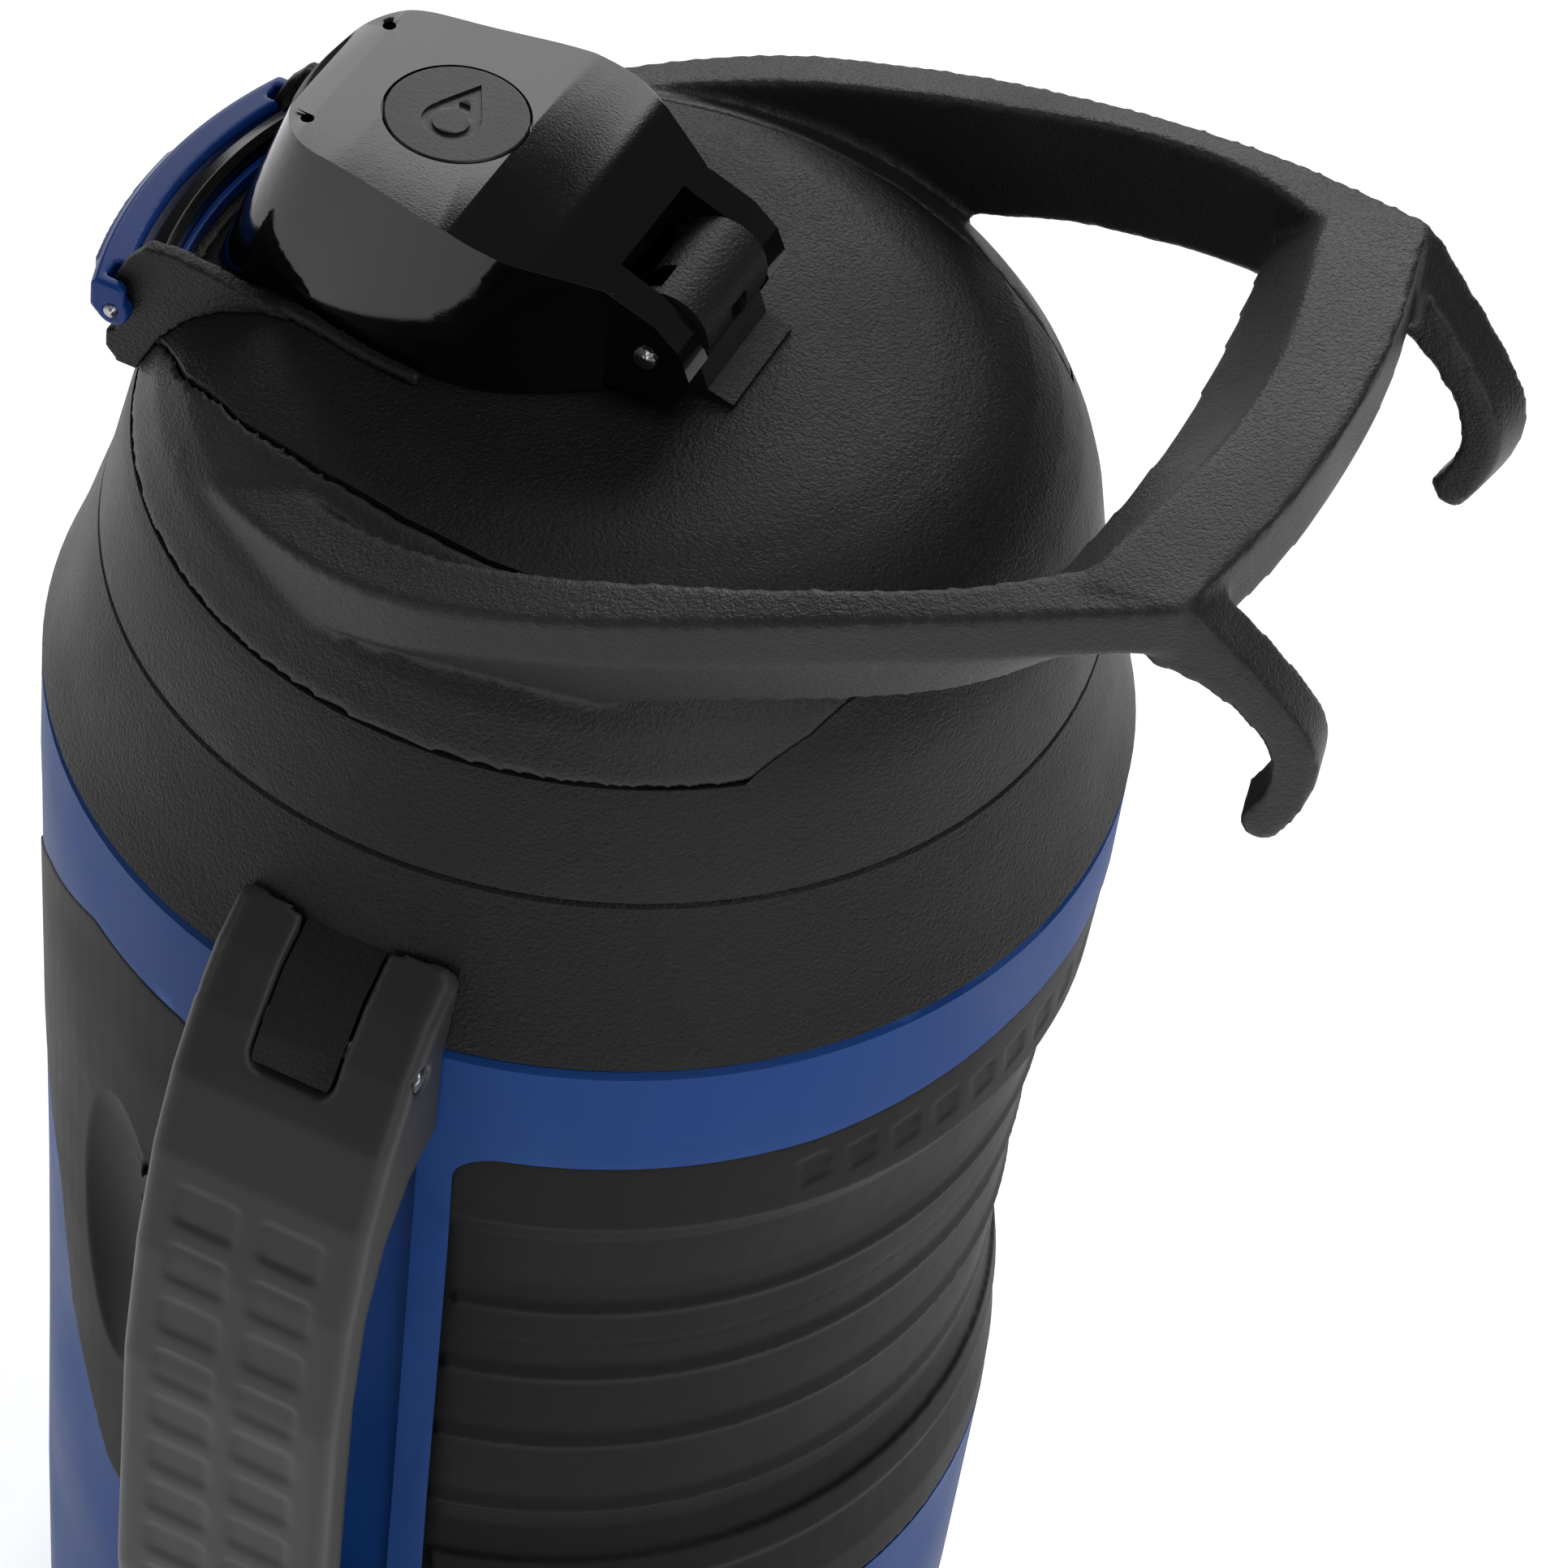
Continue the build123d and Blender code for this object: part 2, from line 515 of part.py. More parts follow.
# Outlines of the flip cap at its foot and head, and the line of its top along X
CAP_FOOT = [(3.0, 15.6), (0.0, 18.2), (-5.0, 21.6), (-11.0, 24.2), (-18.0, 25.0), (-27.0, 24.4),
            (-36.0, 22.2), (-42.8, 19.6), (-48.4, 17.8), (-53.0, 15.6), (-56.2, 11.8), (-57.8, 6.0)]
CAP_HEAD = [(3.0, 13.6), (0.0, 15.2), (-4.0, 17.4), (-10.0, 20.4), (-15.0, 21.0), (-21.0, 20.4),
            (-29.0, 18.6), (-36.0, 17.2), (-42.3, 15.4), (-45.2, 12.0), (-46.9, 6.5)]
CAP_WALL = 1.9
CAP_TOP = [(-48.5, 84.2), (-46.6, 85.6), (-43.0, 86.0), (-36.0, 86.1), (-18.0, 85.9), (-12.0, 84.8),
           (-6.0, 83.2), (1.4, 80.7)]


def cap_body(inset, foot, head):
    """Loft between the cap's foot and head outlines, pulled in by an even inset."""
    with BuildPart() as body:
        for level, outline in ((foot, CAP_FOOT), (head, CAP_HEAD)):
            ring = [(x + inset * max(0.0, (-x - 36.0) / 21.0), y - inset) for x, y in outline]
            nose = (outline[-1][0] - 0.6 + inset, 0.0)
            loop = ring + [nose] + [(x, -y) for x, y in reversed(ring)]
            with BuildSketch(Plane.XY.offset(RING + level)):
                with BuildLine():
                    Spline(*loop)
                    Line(loop[-1], loop[0])
                make_face()
        loft()
    return body.part


BRACKET_SIDE = [(-36.5, 58.0), (-36.5, 61.8), (-44.0, 63.3), (-50.0, 64.4), (-56.0, 65.0), (-60.2, 64.4),
                (-63.0, 61.0), (-65.3, 56.0), (-65.3, 53.0), (-64.0, 50.6), (-64.0, 48.2), (-65.8, 47.6),
                (-65.6, 44.6), (-64.0, 42.8), (-50.0, 42.8)]
BRACKET_IN, BRACKET_OUT = 20.4, 22.8
BUTTON_HALF = 19.6
CAP_SWEEP = 67.6  # radius swept by the cap's front edge about the hinge
SHELF = 53.5  # ledge under the button, from the shell's top edge
button_slab = Pos(-62.0, 0, RING + 54.0) * Box(16.0, 2 * BUTTON_HALF, 30.0)
cap_sweep = bar_along_y(HINGE_X, HINGE_Z, CAP_SWEEP, -BRACKET_IN, BRACKET_IN)

# low rim that carries the bracket on round the cap's foot
RIM_GAP, RIM_WIDE, RIM_TALL = 0.7, 2.6, 1.3
rim_cover = turned([(r + 0.6, z + RIM_TALL) for r, z in DOME] + [(0.0, 25.4)])
rim_slab = Pos(-37.0, 0, RING + 60.0) * Box(38.0, 80.0, 20.0)
foot_rim = (cap_body(-RIM_WIDE, 54.0, 87.0) - cap_body(-RIM_GAP, 54.0, 87.0)) & rim_cover & rim_slab

with BuildPart() as latch_bracket:
    add(foot_rim)
    add(both_sides(BRACKET_SIDE, BRACKET_IN, BRACKET_OUT))
    add(both_sides([(-56.0, 40.0), (-56.0, SHELF), (-61.6, SHELF), (-62.0, 46.0), (-62.0, 42.8)],
                   BUTTON_HALF, BRACKET_IN))
    add(turned([(57.0, 44.0), (57.0, SHELF), (63.6, SHELF), (64.3, SHELF - 0.8), (64.3, 48.0),
                (63.0, 44.0)]) & button_slab)
    add(dome_solid, mode=Mode.SUBTRACT)
    add(cap_sweep, mode=Mode.SUBTRACT)
    add(bar_along_y(BAIL_X, BAIL_Z, BAIL_PIN_R + PIN_SLIP, -30.0, 30.0), mode=Mode.SUBTRACT)
keep(latch_bracket, "latch_bracket")

SPRING_IN, SPRING_OUT = -7.4, -2.6
COIL_R, COIL_WIRE, COIL_PITCH, COIL_TURNS = 3.2, 0.45, 1.15, 3.0
with BuildPart() as hinge_block:
    add(bar_along_y(HINGE_X, HINGE_Z, 6.2, -EAR_IN + FIT, EAR_IN - FIT))
    add(side_plate([(3.6, 62.0), (3.6, 70.0), (13.4, 70.0), (15.2, 65.6), (19.0, 64.6), (19.0, 62.0)],
                   -EAR_IN + FIT, EAR_IN - FIT))
    add(side_plate([(13.0, 69.0), (13.0, 74.0), (15.4, 74.0), (15.4, 69.0)], -2.0, 2.4), mode=Mode.SUBTRACT)
    add(bar_along_y(HINGE_X, HINGE_Z, HINGE_PIN_R + PIN_SLIP, -20.0, 20.0), mode=Mode.SUBTRACT)
    add(side_plate([(-2.0, 67.4), (-2.0, 80.0), (6.6, 80.0), (6.6, 67.4)], SPRING_IN, SPRING_OUT),
        mode=Mode.SUBTRACT)
    add(bar_along_y(HINGE_X, HINGE_Z, COIL_R + COIL_WIRE + 0.3, SPRING_IN, SPRING_OUT), mode=Mode.SUBTRACT)
    add(dome_solid, mode=Mode.SUBTRACT)
keep(hinge_block, "hinge_block")

with BuildPart() as hinge_pin:
    add(bar_along_y(HINGE_X, HINGE_Z, HINGE_PIN_R, -EAR_OUT - 0.3, EAR_OUT + 0.3))
keep(hinge_pin, "hinge_pin")

with BuildPart() as cap_spring:
    with BuildLine() as coil:
        Helix(pitch=COIL_PITCH, height=COIL_PITCH * COIL_TURNS, radius=COIL_R,
              center=(HINGE_X, SPRING_IN + 0.7, HINGE_Z), direction=(0, 1, 0))
    path = coil.wires()[0]
    with BuildSketch(Plane(origin=path @ 0, z_dir=path % 0)):
        Circle(COIL_WIRE)
    sweep(path=path, is_frenet=True)
keep(cap_spring, "cap_spring")

for label, sign in (("bail_pin_near", -1), ("bail_pin_far", 1)):
    y0, y1 = sorted((sign * (BRACKET_IN + 0.2), sign * 25.2))
    with BuildPart() as pin:
        add(bar_along_y(BAIL_X, BAIL_Z, BAIL_PIN_R, y0, y1))
    keep(pin, label)

BAIL_IN, BAIL_OUT = 66.5, 71.4
BAIL_LOW, BAIL_HIGH = 52.2, 57.7
LUG_IN, LUG_OUT = BRACKET_OUT + FIT, 24.9
strap_slab = Pos(-60.0, 0, BAIL_Z) * Box(40.0, 2 * LUG_OUT, 20.0)
pad_slab = Pos(-70.0, -8.0, BAIL_Z) * Box(30.0, 24.0, 20.0)
bracket_notch = side_plate([(-50.0, 40.0), (-50.0, 66.0), (-65.6, 66.0), (-65.6, 40.0)],
                           BRACKET_IN - FIT, LUG_IN)
with BuildPart() as lock_bail:
    add(turned([(BAIL_IN + 0.6, BAIL_LOW), (BAIL_OUT - 0.8, BAIL_LOW), (BAIL_OUT, BAIL_LOW + 0.9),
                (BAIL_OUT, BAIL_HIGH - 0.9), (BAIL_OUT - 0.8, BAIL_HIGH), (BAIL_IN + 0.6, BAIL_HIGH),
                (BAIL_IN, BAIL_HIGH - 0.7), (BAIL_IN, BAIL_LOW + 0.7)]) & strap_slab)
    for sign in (-1, 1):
        y0, y1 = sorted((sign * LUG_IN, sign * LUG_OUT))
        add(bar_along_y(BAIL_X, BAIL_Z, 2.5, y0, y1))
        add(side_plate([(-62.6, 51.4), (-63.2, 55.6), (-66.4, 56.8), (-66.4, 52.4)], y0, y1))
    # raised thumb pad on the near half of the strap
    add(turned([(BAIL_OUT - 1.0, BAIL_LOW + 0.8), (BAIL_OUT + 0.5, BAIL_LOW + 1.4),
                (BAIL_OUT + 0.5, BAIL_HIGH - 1.2), (BAIL_OUT - 1.0, BAIL_HIGH - 0.4)]) & pad_slab)
    add(bracket_notch + mirror(bracket_notch, about=Plane.XZ), mode=Mode.SUBTRACT)
    add(bar_along_y(BAIL_X, BAIL_Z, BAIL_PIN_R + PIN_SLIP, -30.0, 30.0), mode=Mode.SUBTRACT)
keep(lock_bail, "lock_bail")

with BuildPart() as push_button:
    add(turned([(61.8, SHELF + FIT), (61.8, 58.2), (63.0, 58.7), (64.8, 58.0), (65.6, 56.4),
                (65.4, SHELF + FIT)]) & button_slab)
keep(push_button, "push_button")

BACK_TOP = 56.0
with BuildPart() as button_back:
    add(turned([(60.8, SHELF + FIT), (60.8, BACK_TOP), (61.8, BACK_TOP), (61.8, SHELF + FIT)]) & button_slab)
keep(button_back, "button_back")

# ---- spout, valve and lid interior ----
spout_tube = Pos(SPOUT_X, 0, RING + 50.0) * Cylinder(SPOUT_R, 60.0)
valve_stem = Pos(-2.0, 0, RING + 50.0) * Cylinder(2.4, 60.0)
with BuildPart() as lid_shell:
    add(dome_solid)
    add(core_solid, mode=Mode.SUBTRACT)
    add(hook_handle.part, mode=Mode.SUBTRACT)
    add(pad_seats, mode=Mode.SUBTRACT)
    add(spout_tube, mode=Mode.SUBTRACT)
    add(valve_stem, mode=Mode.SUBTRACT)
keep(lid_shell, "lid_shell")

PLUG_R, PLUG_IN, PLUG_FLOOR = 56.8, 54.4, 28.0
with BuildPart() as lid_liner:
    add(turned([(0.0, PLUG_FLOOR), (PLUG_IN, PLUG_FLOOR), (PLUG_IN, 6.0), (PLUG_R, 6.0),
                (PLUG_R, PLUG_FLOOR), (64.6, PLUG_FLOOR), (64.2, 31.0), (0.0, 31.0)]))
    for z in (9.0, 13.5, 18.0):
        add(turned([(PLUG_R - 0.5, z), (PLUG_R + 0.35, z + 0.5), (PLUG_R + 0.35, z + 1.2),
                    (PLUG_R - 0.5, z + 1.7)]))
    add(spout_tube, mode=Mode.SUBTRACT)
    add(valve_stem, mode=Mode.SUBTRACT)
keep(lid_liner, "lid_liner")

with BuildPart() as lid_gasket:
    add(turned([(58.2, 25.0 + FIT), (62.6, 25.0 + FIT), (63.0, 26.6), (62.6, PLUG_FLOOR),
                (58.2, PLUG_FLOOR)]))
keep(lid_gasket, "lid_gasket")

with BuildPart() as lid_foam:
    add(turned([(0.0, 31.0), (64.2, 31.0)] + CORE[1:]))
    add(spout_tube, mode=Mode.SUBTRACT)
    add(valve_stem, mode=Mode.SUBTRACT)
keep(lid_foam, "lid_foam")

with BuildPart() as spout:
    with BuildSketch(Plane.XZ) as half:
        with BuildLine():
            Polyline((SPOUT_BORE, RING + 28.0), (SPOUT_R, RING + 28.0), (SPOUT_R, RING + 60.0),
                     (13.0, RING + 60.0), (13.0, RING + 65.4), (SPOUT_R + 0.6, RING + 67.0),
                     (SPOUT_R - 0.5, RING + 77.6), (SPOUT_R - 1.2, RING + 79.0),
                     (SPOUT_BORE + 0.4, RING + 79.0), (SPOUT_BORE, RING + 78.0), close=True)
        make_face()
    revolve(axis=Axis.Z)
spout_body = Pos(SPOUT_X, 0, 0) * spout.part
with BuildPart() as spout:
    add(spout_body)
    add((dome_solid - spout_tube), mode=Mode.SUBTRACT)
keep(spout, "spout")

with BuildPart() as air_valve:
    with BuildSketch(Plane.XZ):
        with BuildLine():
            Polyline((0.8, RING + 26.0), (5.0, RING + 26.6), (5.0, RING + 27.8), (2.3, RING + 28.0),
                     (2.3, RING + 66.0), (1.6, RING + 66.6), (0.8, RING + 66.6), close=True)
        make_face()
    revolve(axis=Axis.Z)
valve_body = Pos(-2.0, 0, 0) * air_valve.part
with BuildPart() as air_valve:
    add(valve_body)
keep(air_valve, "air_valve")

# ---- flip cap ----
def above(points, drop):
    """Everything above a top line, used to trim the cap."""
    return side_plate([(-75.0, 110.0), (-75.0, points[0][1] - drop)] + [(x, z - drop) for x, z in points] +
                      [(3.2, 79.9 - drop), (3.2, 110.0)], -40.0, 40.0)


dome_clear = turned([(r + 0.5, z + 0.5) for r, z in DOME] + [(0.0, 25.4)])
barrel_clear = bar_along_y(HINGE_X, HINGE_Z, 6.2 + 0.5, -EAR_IN, EAR_IN)
EAR_SIDE = [(-5.0, 66.6), (-5.0, 82.0), (3.0, 80.0), (9.5, 77.6), (13.0, 74.8), (14.8, 71.0), (13.4, 67.0),
            (10.0, 65.2), (5.0, 65.2)]
cap_hollow = cap_body(CAP_WALL, 53.0, 87.0) - above(CAP_TOP, CAP_WALL) - \
    side_plate([(1.2, 50.0), (1.2, 100.0), (10.0, 100.0), (10.0, 50.0)], -30.0, 30.0)
with BuildPart() as flip_cap:
    add(cap_body(0.0, 54.0, 87.0))
    add(above(CAP_TOP, 0.0), mode=Mode.SUBTRACT)
    add(cap_hollow, mode=Mode.SUBTRACT)
    add(both_sides(EAR_SIDE, EAR_IN, EAR_OUT))
    add(side_plate([(1.4, 50.0), (1.4, 90.0), (20.0, 90.0), (20.0, 50.0)], -EAR_IN, EAR_IN),
        mode=Mode.SUBTRACT)
    add(side_plate([(-3.0, 50.0), (-3.0, 77.0), (2.0, 77.0), (2.0, 50.0)], -EAR_IN, EAR_IN),
        mode=Mode.SUBTRACT)
    add(barrel_clear, mode=Mode.SUBTRACT)
    add(dome_clear, mode=Mode.SUBTRACT)
    add(bar_along_y(HINGE_X, HINGE_Z, HINGE_PIN_R + PIN_SLIP, -20.0, 20.0), mode=Mode.SUBTRACT)
    with Locations((SPOUT_X, 0, RING + 86.2)):
        Cylinder(9.85, 3.0, mode=Mode.SUBTRACT)
    for sign in (-1, 1):
        with Locations((-43.4, sign * 11.1, RING + 86.0)):
            Cylinder(0.9, 6.0, mode=Mode.SUBTRACT)
keep(flip_cap, "flip_cap")

BADGE_THICK = 1.3
with BuildPart() as badge:
    with Locations((SPOUT_X, 0, RING + 84.8)):
        Cylinder(9.6, BADGE_THICK, align=(Align.CENTER, Align.CENTER, Align.MIN))
    fillet(badge.edges().filter_by(GeomType.CIRCLE).sort_by(Axis.Z)[-1], 0.3)
    # plain drop sunk in the face
    with BuildSketch(Plane.XY.offset(RING + 84.8 + BADGE_THICK)):
        with Locations((SPOUT_X, -1.6)):
            Circle(3.9)
            Circle(2.5, mode=Mode.SUBTRACT)
        with Locations((SPOUT_X, 0)):
            Polygon((-3.2, 0.9), (0.0, 6.8), (3.2, 0.9), (1.9, 0.4), (0.0, 3.6), (-1.9, 0.4), align=None)
    extrude(amount=-0.4, mode=Mode.SUBTRACT)
keep(badge, "badge")

with BuildPart() as spout_plug:
    with Locations((SPOUT_X, 0, 0)):
        with Locations((0, 0, RING + 79.3)):
            Cylinder(10.6, 2.4, align=(Align.CENTER, Align.CENTER, Align.MIN))
        with Locations((0, 0, RING + 77.6)):
            Cylinder(5.6, 2.0, align=(Align.CENTER, Align.CENTER, Align.MIN))
        with Locations((0, 0, RING + 81.0)):
            Cylinder(7.6, 3.4, align=(Align.CENTER, Align.CENTER, Align.MIN))
    add(flip_cap.part, mode=Mode.SUBTRACT)
keep(spout_plug, "spout_plug")
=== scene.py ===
import json
import math

import bpy
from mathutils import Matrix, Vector

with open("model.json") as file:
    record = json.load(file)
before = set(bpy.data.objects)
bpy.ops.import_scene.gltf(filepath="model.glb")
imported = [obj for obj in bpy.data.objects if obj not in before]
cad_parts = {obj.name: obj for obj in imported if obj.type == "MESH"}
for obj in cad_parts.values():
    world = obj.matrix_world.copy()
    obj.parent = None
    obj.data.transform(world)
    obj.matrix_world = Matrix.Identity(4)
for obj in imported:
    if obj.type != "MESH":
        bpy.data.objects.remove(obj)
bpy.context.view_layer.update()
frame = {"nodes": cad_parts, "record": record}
nodes = frame["nodes"]
MM = 0.001
RING = 0.228  # height of the blue shell's top edge


# ---------------------------------------------------------------- materials
# Noise and grain scales are in cells per metre, bump depths in metres.
FINE_SCALE, FINE_DEPTH, FINE_STRENGTH = 2600.0, 0.00005, 0.08
BROAD_SCALE = 38.0
GRAIN_SCALE, WARP_SCALE = 1000.0, 900.0  # at a grain of 1 mm
GRAIN_DEPTH, GRAIN_WARP = 0.0002, 0.0006
HIGHLIGHT_FROM, HIGHLIGHT_TO = 0.505, 0.56  # pointiness at which the painted edge highlight starts and is complete
COAT_ROUGHNESS = 0.04


def node_tree(name):
    """An empty material with a Principled shader wired to its output."""
    mat = bpy.data.materials.new(name)
    mat.use_nodes = True
    tree = mat.node_tree
    tree.nodes.clear()
    out = tree.nodes.new("ShaderNodeOutputMaterial")
    shader = tree.nodes.new("ShaderNodeBsdfPrincipled")
    tree.links.new(shader.outputs[0], out.inputs[0])
    return mat, tree, shader


def add(tree, kind, **inputs):
    """A new node with some of its inputs set."""
    node = tree.nodes.new(kind)
    for key, value in inputs.items():
        if key in node.inputs:
            node.inputs[key].default_value = value
    return node


def ramp(tree, source, low, high, low_at=0.3, high_at=0.7):
    """Maps a 0-1 source onto low..high between two stops."""
    node = tree.nodes.new("ShaderNodeMapRange")
    tree.links.new(source, node.inputs["Value"])
    node.inputs["From Min"].default_value = low_at
    node.inputs["From Max"].default_value = high_at
    node.inputs["To Min"].default_value = low
    node.inputs["To Max"].default_value = high
    return node.outputs[0]


def plastic(name, color, rough, grain=0.0, grain_mm=0.7, spread=0.05, coat=0.0, edge_highlight=0.12,
            specular=0.5, metallic=0.0):
    """Moulded surface: grain and fine noise as bump, uneven roughness, convex edges painted paler as
    a highlight.
    """
    mat, tree, shader = node_tree(name)
    link = tree.links.new
    coord = tree.nodes.new("ShaderNodeTexCoord")
    fine = add(tree, "ShaderNodeTexNoise", Scale=FINE_SCALE, Detail=4.0, Roughness=0.6)
    broad = add(tree, "ShaderNodeTexNoise", Scale=BROAD_SCALE, Detail=3.0)
    for node in (fine, broad):
        link(coord.outputs["Object"], node.inputs["Vector"])
    rough_out = ramp(tree, broad.outputs[0], rough - spread, rough + spread)
    link(rough_out, shader.inputs["Roughness"])
    edges = tree.nodes.new("ShaderNodeNewGeometry")
    # convex edges (high pointiness) are painted paler: a painted highlight
    edge_lit = ramp(tree, edges.outputs["Pointiness"], 0.0, edge_highlight, HIGHLIGHT_FROM, HIGHLIGHT_TO)
    mix = tree.nodes.new("ShaderNodeMixRGB")
    mix.inputs["Color1"].default_value = (*color, 1)
    mix.inputs["Color2"].default_value = (*[min(1, c * 1.6 + 0.03) for c in color], 1)
    link(edge_lit, mix.inputs["Fac"])
    tone = tree.nodes.new("ShaderNodeMixRGB")
    tone.blend_type = "MULTIPLY"
    tone.inputs["Fac"].default_value = 1.0
    link(mix.outputs[0], tone.inputs["Color1"])
    shade = ramp(tree, broad.outputs[0], 0.92, 1.06)
    grey = tree.nodes.new("ShaderNodeCombineColor")
    for i in range(3):
        link(shade, grey.inputs[i])
    link(grey.outputs[0], tone.inputs["Color2"])
    link(tone.outputs[0], shader.inputs["Base Color"])
    bump = add(tree, "ShaderNodeBump", Strength=FINE_STRENGTH, Distance=FINE_DEPTH)
    link(fine.outputs[0], bump.inputs["Height"])
    last = bump
    if grain:
        warp = add(tree, "ShaderNodeTexNoise", Scale=WARP_SCALE / grain_mm, Detail=2.0)
        link(coord.outputs["Object"], warp.inputs["Vector"])
        mixv = tree.nodes.new("ShaderNodeMixRGB")
        mixv.blend_type = "LINEAR_LIGHT"
        mixv.inputs["Fac"].default_value = GRAIN_WARP
        link(coord.outputs["Object"], mixv.inputs["Color1"])
        link(warp.outputs["Color"], mixv.inputs["Color2"])
        cells = add(tree, "ShaderNodeTexVoronoi", Scale=GRAIN_SCALE / grain_mm)
        cells.feature = "SMOOTH_F1"
        link(mixv.outputs[0], cells.inputs["Vector"])
        leather = add(tree, "ShaderNodeBump", Strength=grain, Distance=GRAIN_DEPTH)
        leather.invert = True
        link(cells.outputs["Distance"], leather.inputs["Height"])
        link(bump.outputs[0], leather.inputs["Normal"])
        last = leather
    link(last.outputs[0], shader.inputs["Normal"])
    shader.inputs["Specular IOR Level"].default_value = specular
    shader.inputs["Coat Weight"].default_value = coat
    shader.inputs["Coat Roughness"].default_value = COAT_ROUGHNESS
    shader.inputs["Metallic"].default_value = metallic
    return mat


# Finishes by name; all but hook_black_lit are the record's material slots.
FINISHES = {
    # blue_shell's large edge value paints a pale highlight on the shell's convex edges, its top
    # chamfer among them
    "blue_shell": dict(color=(0.006, 0.052, 0.23), rough=0.5, grain=0.1, grain_mm=1.2, edge_highlight=0.6,
                       specular=0.12),
    "liner": dict(color=(0.75, 0.75, 0.73), rough=0.35),
    "foam": dict(color=(0.72, 0.66, 0.42), rough=0.9, grain=0.6, grain_mm=0.5),
    "foot_rubber": dict(color=(0.015, 0.015, 0.015), rough=0.75, grain=0.2, specular=0.2),
    "grained_black": dict(color=(0.0085, 0.0085, 0.0087), rough=0.46, grain=0.7, grain_mm=0.5,
                          edge_highlight=0.3, specular=0.23),
    # hook_black_lit: grained_black at twice the base colour, a painted-light copy for the
    # brighter-lit hook handle
    "hook_black_lit": dict(color=(0.017, 0.017, 0.0172), rough=0.46, grain=0.6, grain_mm=0.5, edge_highlight=0.3,
                       specular=0.36),
    "grip_rubber": dict(color=(0.0055, 0.0055, 0.0057), rough=0.52, grain=0.06, grain_mm=0.6,
                        edge_highlight=0.5, specular=0.1),
    "handle_black": dict(color=(0.027, 0.027, 0.0272), rough=0.44, grain=0.06, grain_mm=0.6, edge_highlight=0.3,
                         specular=0.35),
    "pin_metal": dict(color=(0.55, 0.55, 0.57), rough=0.3, metallic=1.0),
    "spring_metal": dict(color=(0.6, 0.6, 0.62), rough=0.2, metallic=1.0),
    "seal": dict(color=(0.3, 0.31, 0.32), rough=0.55, grain=0.05),
    "spout_black": dict(color=(0.008, 0.008, 0.009), rough=0.2, coat=0.3),
    "smoky_cap": dict(color=(0.003, 0.003, 0.0032), rough=0.05, spread=0.02, edge_highlight=0.04),
    "badge_black": dict(color=(0.012, 0.012, 0.0125), rough=0.36, specular=0.4, grain=0.08,
                        grain_mm=0.5),
    "gloss_black": dict(color=(0.002, 0.002, 0.0022), rough=0.1, spread=0.03, specular=0.2),
    "blue_gloss": dict(color=(0.004, 0.035, 0.2), rough=0.24, edge_highlight=0.3, specular=0.2),
}
LIT_COPY_FINISH = {"hook_handle": "hook_black_lit"}  # a lighter copy of its slot's finish, painted light for the brighter-lit hook handle
looks = {name: plastic(name, **finish) for name, finish in FINISHES.items()}
node_slot = {row["node"]: row["material_slot"] for row in frame["record"]["subparts"]}


def paint(obj, look):
    """Gives a node one finish."""
    obj.data.materials.clear()
    obj.data.materials.append(looks[look])


WELD_GAP = 1e-6  # metres
SHARP_ANGLE = 32.0  # degrees between faces past which an edge is bevelled


def smooth_edges(obj, width):
    """Rounds a CAD node's sharp edges and shades it smoothly, without touching its own vertices."""
    weld = obj.modifiers.new("weld", "WELD")
    weld.merge_threshold = WELD_GAP
    if width:
        bevel = obj.modifiers.new("edge", "BEVEL")
        bevel.width = width * MM
        bevel.segments = 3
        bevel.limit_method = "ANGLE"
        bevel.angle_limit = math.radians(SHARP_ANGLE)
        bevel.harden_normals = False
    normals = obj.modifiers.new("normals", "WEIGHTED_NORMAL")
    normals.keep_sharp = True
    for poly in obj.data.polygons:
        poly.use_smooth = True


# Bevel widths in mm of the pieces that keep crisp faces; the rest have none.
EDGE = {"collar": 0.35, "lid_shell": 0.18, "outer_shell": 0.3, "flip_cap": 0.5, "hinge_block": 0.4,
        "badge": 0.2, "push_button": 0.4, "foot_ring": 0.5, "button_back": 0.2}
# Moulded pieces whose corners all run into each other softly: cell size in mm, smoothing passes.
SOFT = {"hook_handle": (0.75, 5), "side_handle": (0.55, 5), "latch_bracket": (0.4, 5),
        "lock_bail": (0.28, 4), "grip_finger_side": (0.5, 2), "grip_thumb_side": (0.45, 3),
        "lower_mount": (0.4, 3)}


def soften(obj, cell, passes):
    """Rebuilds a CAD node's surface in even cells and eases every corner by about a cell."""
    cells = obj.modifiers.new("cells", "REMESH")
    cells.mode = "VOXEL"
    cells.voxel_size = cell * MM
    cells.adaptivity = 0.0
    cells.use_smooth_shade = True
    ease = obj.modifiers.new("ease", "SMOOTH")
    ease.factor = 0.5
    ease.iterations = passes


for name, obj in nodes.items():
    paint(obj, LIT_COPY_FINISH.get(name, node_slot[name]))
    if name in SOFT:
        soften(obj, *SOFT[name])
    else:
        smooth_edges(obj, EDGE.get(name, 0.0))

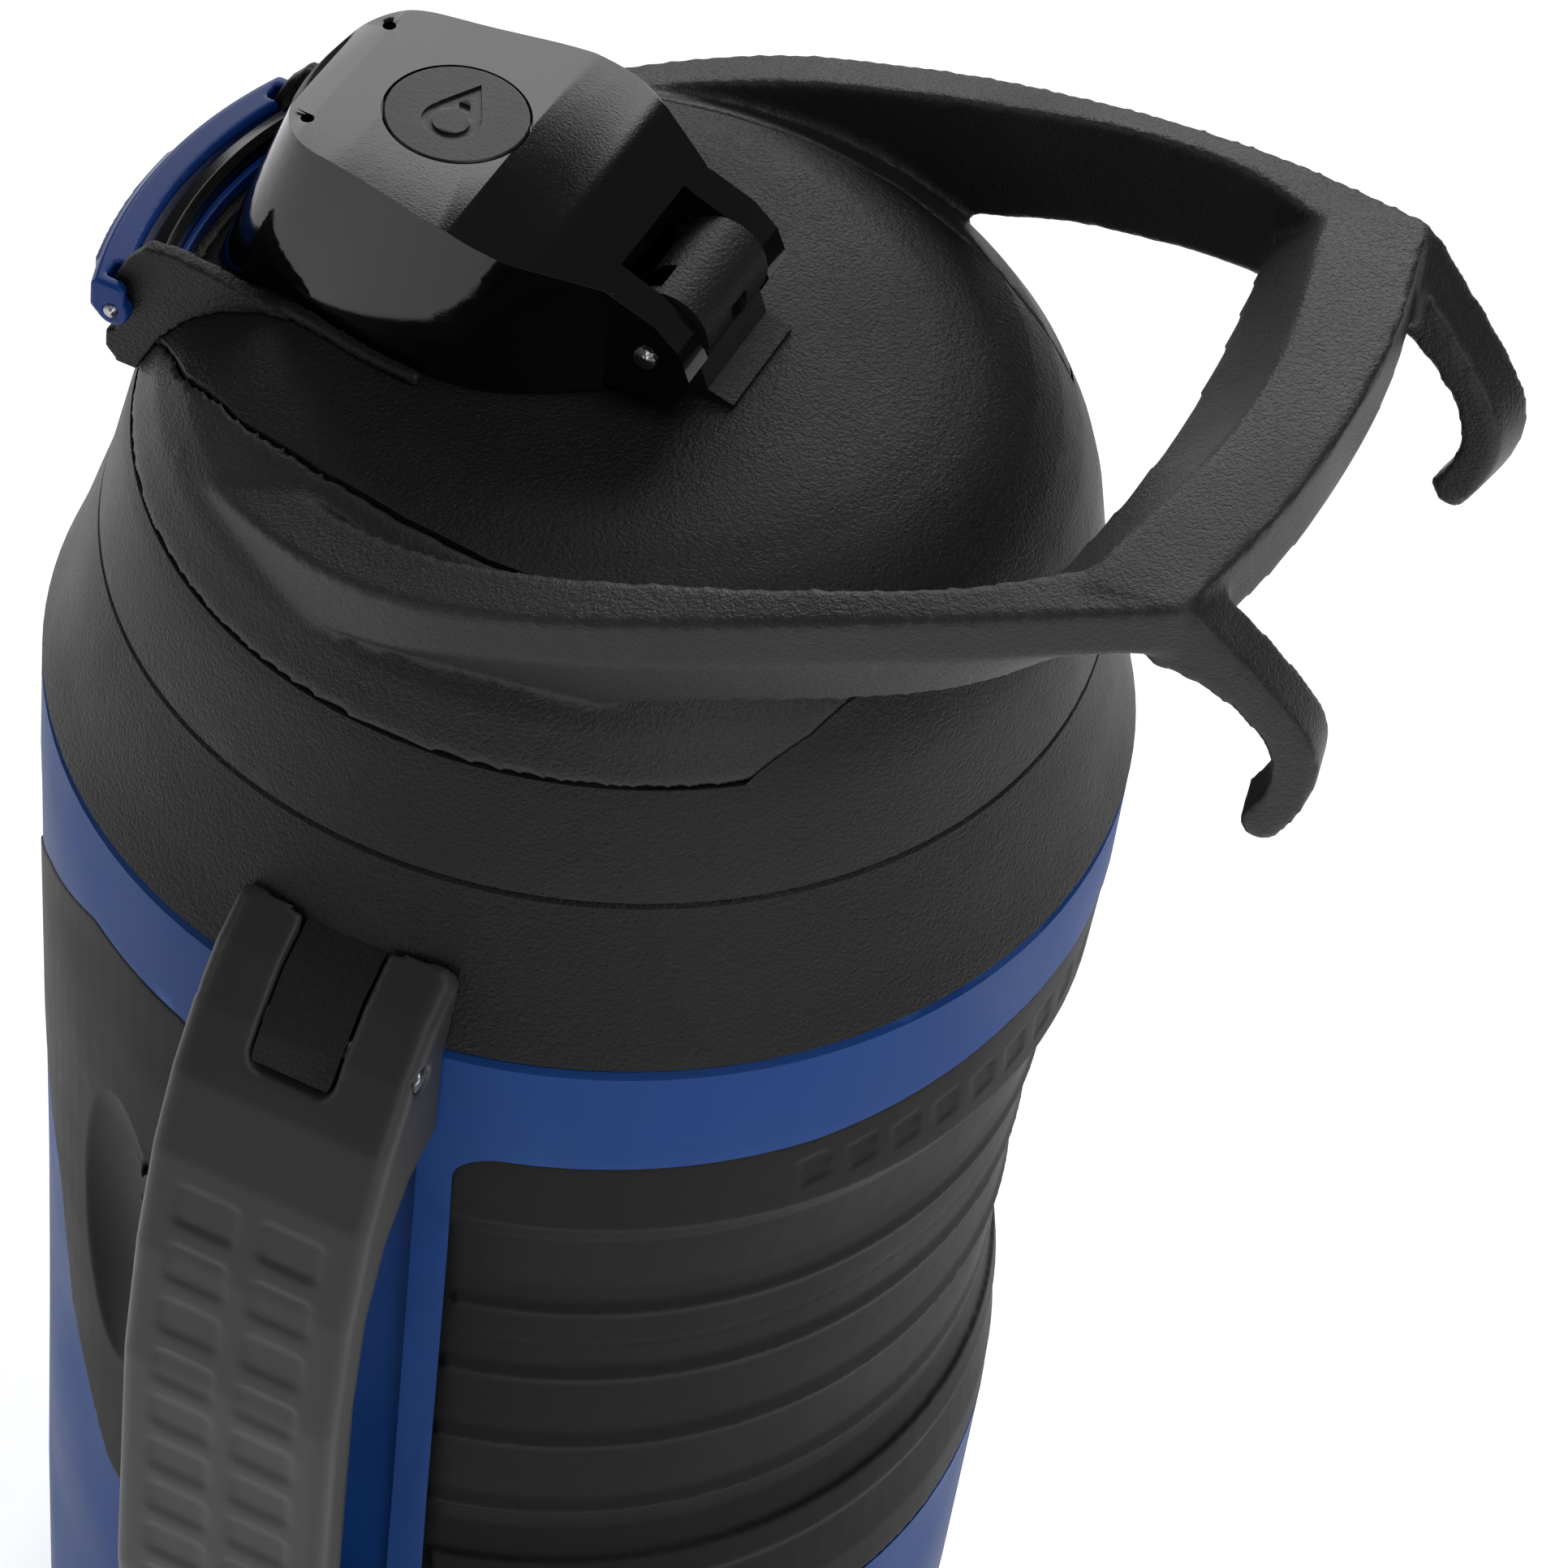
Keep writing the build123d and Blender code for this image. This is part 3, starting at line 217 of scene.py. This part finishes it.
# ---------------------------------------------------------------- floor, light, camera
FLOOR_SIZE = 6.0
bpy.ops.mesh.primitive_plane_add(size=FLOOR_SIZE, location=(0, 0, 0))
floor = bpy.context.object
floor.name = "studio_floor"
floor_mat, _, floor_shader = node_tree("studio_floor")
floor_shader.inputs["Base Color"].default_value = (0.8, 0.8, 0.8, 1)
floor_shader.inputs["Emission Color"].default_value = (1, 1, 1, 1)
floor_shader.inputs["Emission Strength"].default_value = 0.7
floor_shader.inputs["Roughness"].default_value = 0.9
floor.data.materials.append(floor_mat)

world = bpy.data.worlds.new("studio")
bpy.context.scene.world = world
world.use_nodes = True
world.node_tree.nodes["Background"].inputs["Color"].default_value = (1, 1, 1, 1)
world.node_tree.nodes["Background"].inputs["Strength"].default_value = 0.1


def softbox(name, location, target, width, height, power):
    """Rectangular studio light aimed at a point; sizes in metres, power in watts."""
    light = bpy.data.lights.new(name, "AREA")
    light.shape = "RECTANGLE"
    light.size, light.size_y = width, height
    light.energy = power
    obj = bpy.data.objects.new(name, light)
    bpy.context.collection.objects.link(obj)
    obj.location = location
    aim = Vector(target) - Vector(location)
    obj.rotation_euler = aim.to_track_quat("-Z", "Y").to_euler()


TARGET = (0.0, 0.0, 0.26)  # near the collar
softbox("key_left", (-0.9, -0.6, 0.75), TARGET, 0.5, 0.5, 1.2)
# the rear panel is what the cap's top reflects
softbox("rear", (-0.5, 1.0, 0.86), (-0.5, 0.0, 0.6), 1.2, 0.72, 9.0)
softbox("top", (0.25, 0.1, 1.4), TARGET, 0.5, 0.5, 2.6)
softbox("right_fill", (0.9, -0.8, 0.5), TARGET, 0.4, 0.7, 1.8)
softbox("bar_light", (0.6, -0.3, 0.75), (0.09, 0.0, 0.32), 0.3, 0.3, 0.8)

CAMERA_TURN = (43.55, -5.97, 25.59)  # degrees about X, Y and Z
CAMERA_PLACE = (0.2116, -0.5157, RING + 0.5601)
camera = bpy.data.objects.new("camera", bpy.data.cameras.new("camera"))
bpy.context.collection.objects.link(camera)
camera.data.sensor_width = 36.0
camera.data.lens = 130.4
camera.data.clip_start = 0.05
camera.location = CAMERA_PLACE
camera.rotation_euler = [math.radians(turn) for turn in CAMERA_TURN]
bpy.context.scene.camera = camera
bpy.context.scene.view_settings.view_transform = "Standard"
